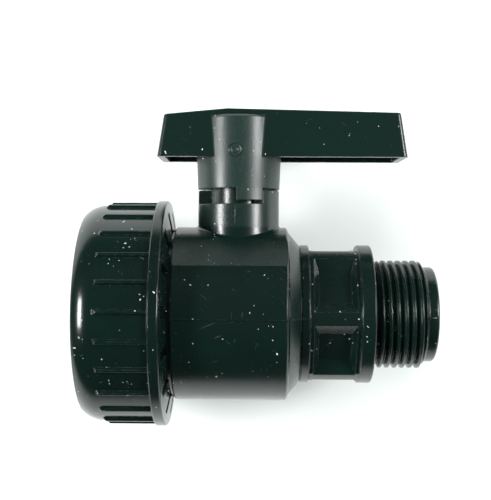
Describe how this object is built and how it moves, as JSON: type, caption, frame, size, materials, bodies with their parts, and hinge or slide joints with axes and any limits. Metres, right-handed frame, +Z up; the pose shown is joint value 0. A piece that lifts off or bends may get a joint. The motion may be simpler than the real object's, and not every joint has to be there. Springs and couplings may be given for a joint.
{
  "type": "ibc tank valve",
  "caption": "Plastic quarter-turn ball valve for an IBC tank: a swivelling coupling nut, ball and stem in a round body, a lever handle and a male-threaded outlet spigot.",
  "frame": {"origin": "where the flow axis meets the sealing face of the tank gasket, inside the coupling nut", "axes": "+X downstream along the flow axis to the outlet spigot, +Z up the stem to the handle, +Y completes the right-handed frame"},
  "size_m": [0.1063, 0.0692, 0.0969],
  "materials": {
    "body_plastic": "moulded semi-gloss",
    "nut_plastic": "moulded semi-gloss",
    "handle_plastic": "moulded semi-gloss",
    "carrier_plastic": "moulded semi-gloss",
    "stem_plastic": "moulded semi-gloss",
    "ball_plastic": "polished",
    "seat_plastic": "waxy satin",
    "seal_rubber": "matt"
  },
  "bodies": {
    "valve": {"valve_body": "body_plastic", "tank_face_gasket": "seal_rubber", "seat_carrier": "carrier_plastic", "seat_carrier_oring": "seal_rubber", "inlet_seat": "seat_plastic", "inlet_seat_oring": "seal_rubber", "outlet_seat": "seat_plastic", "outlet_seat_oring": "seal_rubber", "stem_thrust_washer": "seat_plastic"},
    "operator": {"handle": "handle_plastic", "stem": "stem_plastic", "stem_lower_oring": "seal_rubber", "stem_upper_oring": "seal_rubber"},
    "ball": {"flow_ball": "ball_plastic"},
    "nut": {"coupling_nut": "nut_plastic"}
  },
  "joints": [
    {"name": "handle_turn", "type": "hinge", "parent": "valve", "child": "operator", "pos_m": [0.0312, 0, 0.038], "axis": [0, 0, 1], "range_deg": [-90, 0]},
    {"name": "ball_turn", "type": "hinge", "parent": "valve", "child": "ball", "pos_m": [0.0312, 0, 0], "axis": [0, 0, 1], "range_deg": [-90, 0]},
    {"name": "nut_spin", "type": "hinge", "parent": "valve", "child": "nut", "pos_m": [0, 0, 0], "axis": [-1, 0, 0], "continuous": true}
  ],
  "couplings": [
    {"joint": "ball_turn", "follows": "handle_turn", "ratio": 1}
  ]
}
